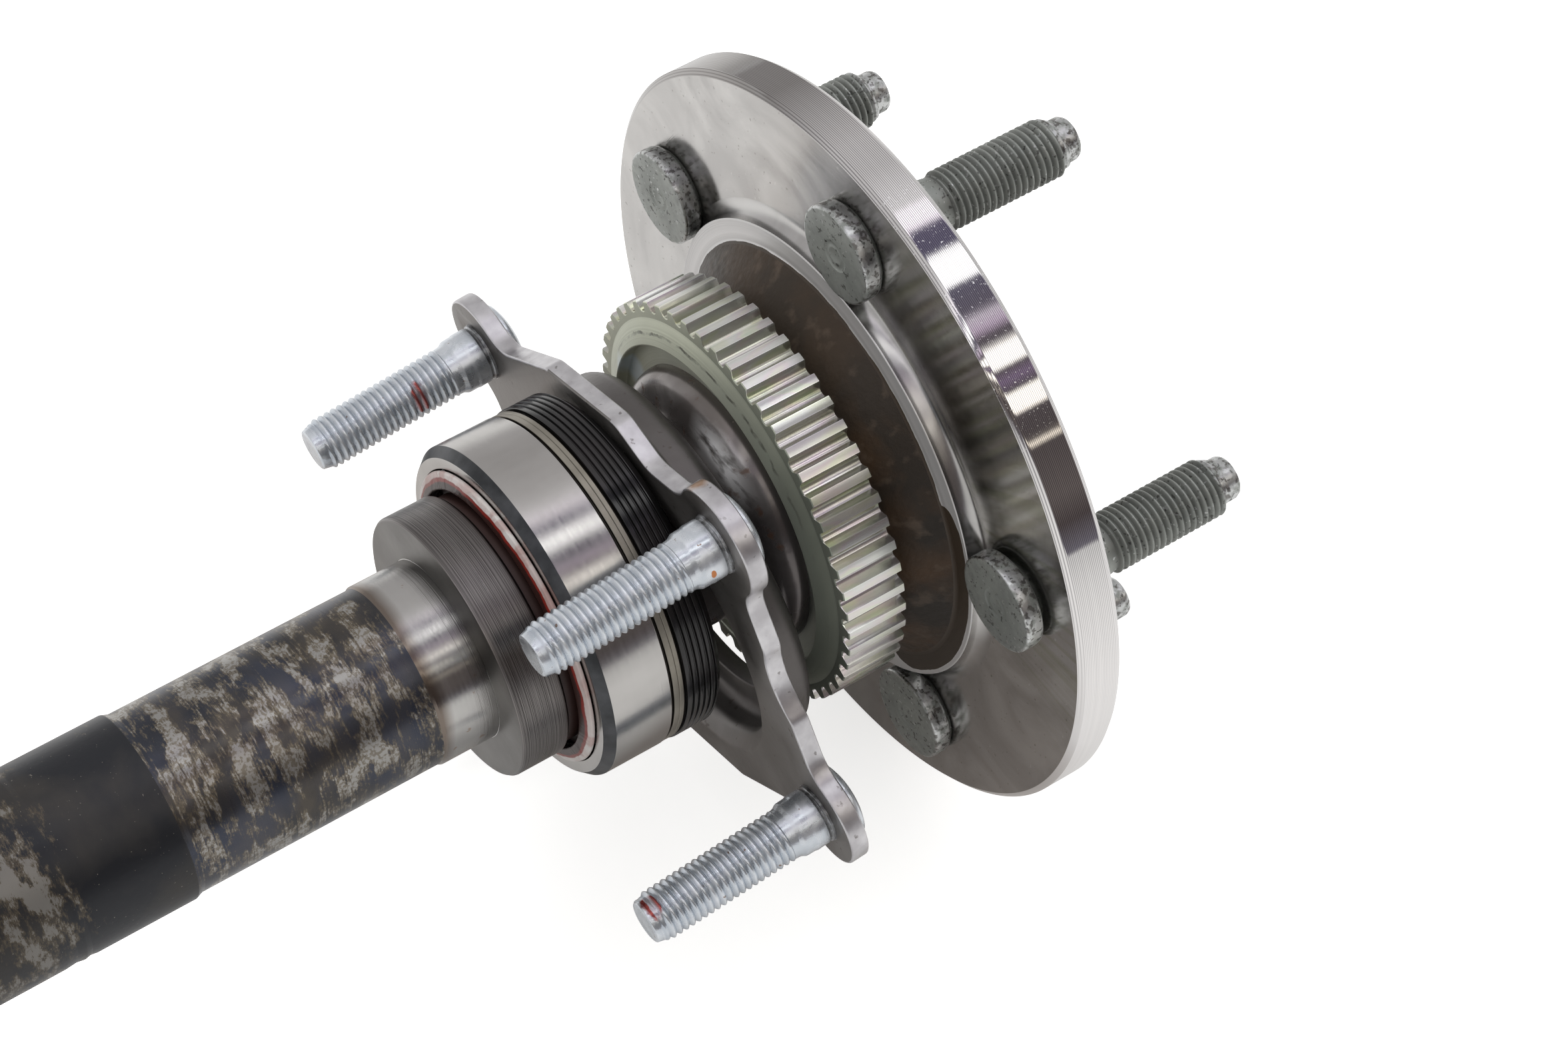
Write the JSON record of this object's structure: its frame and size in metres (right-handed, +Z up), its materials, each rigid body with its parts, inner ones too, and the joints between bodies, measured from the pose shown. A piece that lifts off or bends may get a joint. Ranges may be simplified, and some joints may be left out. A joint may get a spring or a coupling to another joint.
{
  "type": "axle shaft",
  "caption": "Flanged rear axle shaft with wheel studs, tone ring, tapered roller bearing and seal, lock collar, splined end and a loose retainer plate with studs.",
  "frame": {"origin": "centre of the flange's wheel face, on the axle's axis", "axes": "+Y along the axle, outboard towards the wheel; +Z up; the splined end lies at -Y"},
  "size_m": [0.166, 0.8479, 0.1658],
  "materials": {
    "forged_steel": "satin",
    "turned_steel": "satin",
    "bearing_steel": "ground",
    "cage_steel": "satin",
    "seal_case_paint": "matte",
    "seal_rubber": "matte",
    "spring_steel": "satin",
    "yellow_zinc": "yellow zinc plated",
    "blue_zinc": "bright zinc plated",
    "phosphate_steel": "grey phosphate",
    "pressed_steel": "dull pressed"
  },
  "bodies": {
    "bearing_outer": {"bearing_cup": "bearing_steel", "seal_case": "seal_case_paint", "rubber_seal": "seal_rubber", "garter_spring": "spring_steel"},
    "shaft": {"axle_shaft": "forged_steel", "tone_ring": "yellow_zinc", "bearing_cone": "bearing_steel", "lock_collar": "turned_steel", "wheel_stud_1": "phosphate_steel", "wheel_stud_2": "phosphate_steel", "wheel_stud_3": "phosphate_steel", "wheel_stud_4": "phosphate_steel", "wheel_stud_5": "phosphate_steel"},
    "roller_set": {"bearing_cage": "cage_steel", "roller_01": "bearing_steel", "roller_02": "bearing_steel", "roller_03": "bearing_steel", "roller_04": "bearing_steel", "roller_05": "bearing_steel", "roller_06": "bearing_steel", "roller_07": "bearing_steel", "roller_08": "bearing_steel", "roller_09": "bearing_steel", "roller_10": "bearing_steel", "roller_11": "bearing_steel", "roller_12": "bearing_steel", "roller_13": "bearing_steel", "roller_14": "bearing_steel", "roller_15": "bearing_steel", "roller_16": "bearing_steel", "roller_17": "bearing_steel", "roller_18": "bearing_steel", "roller_19": "bearing_steel", "roller_20": "bearing_steel"},
    "retainer": {"retainer_plate": "pressed_steel", "housing_stud_1": "blue_zinc", "housing_stud_2": "blue_zinc", "housing_stud_3": "blue_zinc", "housing_stud_4": "blue_zinc"}
  },
  "joints": [
    {"name": "shaft_spin", "type": "hinge", "parent": "bearing_outer", "child": "shaft", "pos_m": [0, -0.08205, 0], "axis": [0, 1, 0], "continuous": true},
    {"name": "roller_orbit", "type": "hinge", "parent": "bearing_outer", "child": "roller_set", "pos_m": [0, -0.08205, 0], "axis": [0, 1, 0], "continuous": true},
    {"name": "retainer_turn", "type": "hinge", "parent": "bearing_outer", "child": "retainer", "pos_m": [0, -0.05711, 0], "axis": [0, 1, 0], "continuous": true}
  ],
  "couplings": [
    {"joint": "roller_orbit", "follows": "shaft_spin", "ratio": 0.4405}
  ]
}
